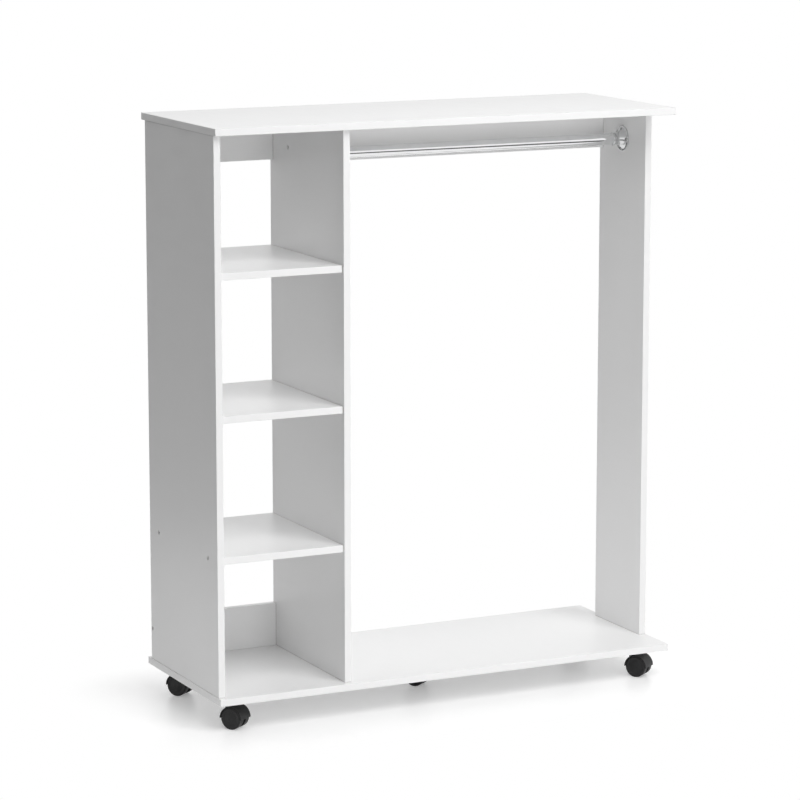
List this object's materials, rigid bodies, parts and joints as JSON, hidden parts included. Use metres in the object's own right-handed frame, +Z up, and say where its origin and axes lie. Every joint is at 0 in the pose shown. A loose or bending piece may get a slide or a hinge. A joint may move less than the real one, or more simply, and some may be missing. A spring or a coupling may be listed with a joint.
{
  "type": "open wardrobe",
  "caption": "Open freestanding wardrobe on castors, with a narrow shelf bay on one side and a wide hanging bay with a chromed rod on the other.",
  "frame": {"origin": "on the floor, under the middle of the base board", "axes": "+X to the right as seen from the open front, -Y out of the front, +Z up"},
  "size_m": [1.068, 0.4, 1.255],
  "materials": {
    "white_board": "white melamine faced chipboard, satin",
    "chrome_tube": "polished chrome",
    "chrome_flange": "polished chrome",
    "bright_screw": "nickel plated",
    "zinc_screw": "zinc plated",
    "zinc_cam": "die cast zinc",
    "steel_pin": "bright steel",
    "zinc_plate": "zinc plated, stamped",
    "beech_dowel": "raw beech",
    "black_hood": "black nylon, fine texture",
    "black_wheel": "black nylon, smooth"
  },
  "bodies": {
    "wardrobe": {"base_board": "white_board", "top_board": "white_board", "left_side_panel": "white_board", "divider_panel": "white_board", "right_side_panel": "white_board", "fixed_shelf": "white_board", "middle_shelf": "white_board", "upper_shelf": "white_board", "lower_back_rail": "white_board", "upper_back_rail": "white_board", "hanging_bay_rail": "white_board", "hanging_rod": "chrome_tube", "rod_flange_divider_side": "chrome_flange", "rod_flange_right_side": "chrome_flange", "flange_screws": "bright_screw", "board_screws": "zinc_screw", "wooden_dowels": "beech_dowel", "cam_housings": "zinc_cam", "cam_bolts": "zinc_cam", "shelf_pins": "steel_pin", "castor_plate_screws": "zinc_screw", "castor_front_left_plate": "zinc_plate", "castor_front_left_swivel_pin": "steel_pin", "castor_front_right_plate": "zinc_plate", "castor_front_right_swivel_pin": "steel_pin", "castor_back_left_plate": "zinc_plate", "castor_back_left_swivel_pin": "steel_pin", "castor_back_right_plate": "zinc_plate", "castor_back_right_swivel_pin": "steel_pin", "castor_middle_plate": "zinc_plate", "castor_middle_swivel_pin": "steel_pin"},
    "castor_front_left_swivel": {"castor_front_left_hood": "black_hood", "castor_front_left_axle": "steel_pin"},
    "castor_front_left_left_wheel": {"castor_front_left_left_wheel": "black_wheel"},
    "castor_front_left_right_wheel": {"castor_front_left_right_wheel": "black_wheel"},
    "castor_front_right_swivel": {"castor_front_right_hood": "black_hood", "castor_front_right_axle": "steel_pin"},
    "castor_front_right_left_wheel": {"castor_front_right_left_wheel": "black_wheel"},
    "castor_front_right_right_wheel": {"castor_front_right_right_wheel": "black_wheel"},
    "castor_back_left_swivel": {"castor_back_left_hood": "black_hood", "castor_back_left_axle": "steel_pin"},
    "castor_back_left_left_wheel": {"castor_back_left_left_wheel": "black_wheel"},
    "castor_back_left_right_wheel": {"castor_back_left_right_wheel": "black_wheel"},
    "castor_back_right_swivel": {"castor_back_right_hood": "black_hood", "castor_back_right_axle": "steel_pin"},
    "castor_back_right_left_wheel": {"castor_back_right_left_wheel": "black_wheel"},
    "castor_back_right_right_wheel": {"castor_back_right_right_wheel": "black_wheel"},
    "castor_middle_swivel": {"castor_middle_hood": "black_hood", "castor_middle_axle": "steel_pin"},
    "castor_middle_left_wheel": {"castor_middle_left_wheel": "black_wheel"},
    "castor_middle_right_wheel": {"castor_middle_right_wheel": "black_wheel"}
  },
  "joints": [
    {"name": "castor_front_left_turn", "type": "hinge", "parent": "wardrobe", "child": "castor_front_left_swivel", "pos_m": [-0.493, -0.148, 0.05], "axis": [0, 0, 1], "continuous": true},
    {"name": "castor_front_left_left_wheel_spin", "type": "hinge", "parent": "castor_front_left_swivel", "child": "castor_front_left_left_wheel", "pos_m": [-0.48477, -0.15933, 0.023], "axis": [0.809, 0.5878, 0], "continuous": true},
    {"name": "castor_front_left_right_wheel_spin", "type": "hinge", "parent": "castor_front_left_swivel", "child": "castor_front_left_right_wheel", "pos_m": [-0.48477, -0.15933, 0.023], "axis": [0.809, 0.5878, 0], "continuous": true},
    {"name": "castor_front_right_turn", "type": "hinge", "parent": "wardrobe", "child": "castor_front_right_swivel", "pos_m": [0.475, -0.148, 0.05], "axis": [0, 0, 1], "continuous": true},
    {"name": "castor_front_right_left_wheel_spin", "type": "hinge", "parent": "castor_front_right_swivel", "child": "castor_front_right_left_wheel", "pos_m": [0.48323, -0.15933, 0.023], "axis": [0.809, 0.5878, 0], "continuous": true},
    {"name": "castor_front_right_right_wheel_spin", "type": "hinge", "parent": "castor_front_right_swivel", "child": "castor_front_right_right_wheel", "pos_m": [0.48323, -0.15933, 0.023], "axis": [0.809, 0.5878, 0], "continuous": true},
    {"name": "castor_back_left_turn", "type": "hinge", "parent": "wardrobe", "child": "castor_back_left_swivel", "pos_m": [-0.493, 0.148, 0.05], "axis": [0, 0, 1], "continuous": true},
    {"name": "castor_back_left_left_wheel_spin", "type": "hinge", "parent": "castor_back_left_swivel", "child": "castor_back_left_left_wheel", "pos_m": [-0.48477, 0.13667, 0.023], "axis": [0.809, 0.5878, 0], "continuous": true},
    {"name": "castor_back_left_right_wheel_spin", "type": "hinge", "parent": "castor_back_left_swivel", "child": "castor_back_left_right_wheel", "pos_m": [-0.48477, 0.13667, 0.023], "axis": [0.809, 0.5878, 0], "continuous": true},
    {"name": "castor_back_right_turn", "type": "hinge", "parent": "wardrobe", "child": "castor_back_right_swivel", "pos_m": [0.475, 0.148, 0.05], "axis": [0, 0, 1], "continuous": true},
    {"name": "castor_back_right_left_wheel_spin", "type": "hinge", "parent": "castor_back_right_swivel", "child": "castor_back_right_left_wheel", "pos_m": [0.48323, 0.13667, 0.023], "axis": [0.809, 0.5878, 0], "continuous": true},
    {"name": "castor_back_right_right_wheel_spin", "type": "hinge", "parent": "castor_back_right_swivel", "child": "castor_back_right_right_wheel", "pos_m": [0.48323, 0.13667, 0.023], "axis": [0.809, 0.5878, 0], "continuous": true},
    {"name": "castor_middle_turn", "type": "hinge", "parent": "wardrobe", "child": "castor_middle_swivel", "pos_m": [0.003, -0.003, 0.05], "axis": [0, 0, 1], "continuous": true},
    {"name": "castor_middle_left_wheel_spin", "type": "hinge", "parent": "castor_middle_swivel", "child": "castor_middle_left_wheel", "pos_m": [0.01123, -0.01433, 0.023], "axis": [0.809, 0.5878, 0], "continuous": true},
    {"name": "castor_middle_right_wheel_spin", "type": "hinge", "parent": "castor_middle_swivel", "child": "castor_middle_right_wheel", "pos_m": [0.01123, -0.01433, 0.023], "axis": [0.809, 0.5878, 0], "continuous": true}
  ]
}
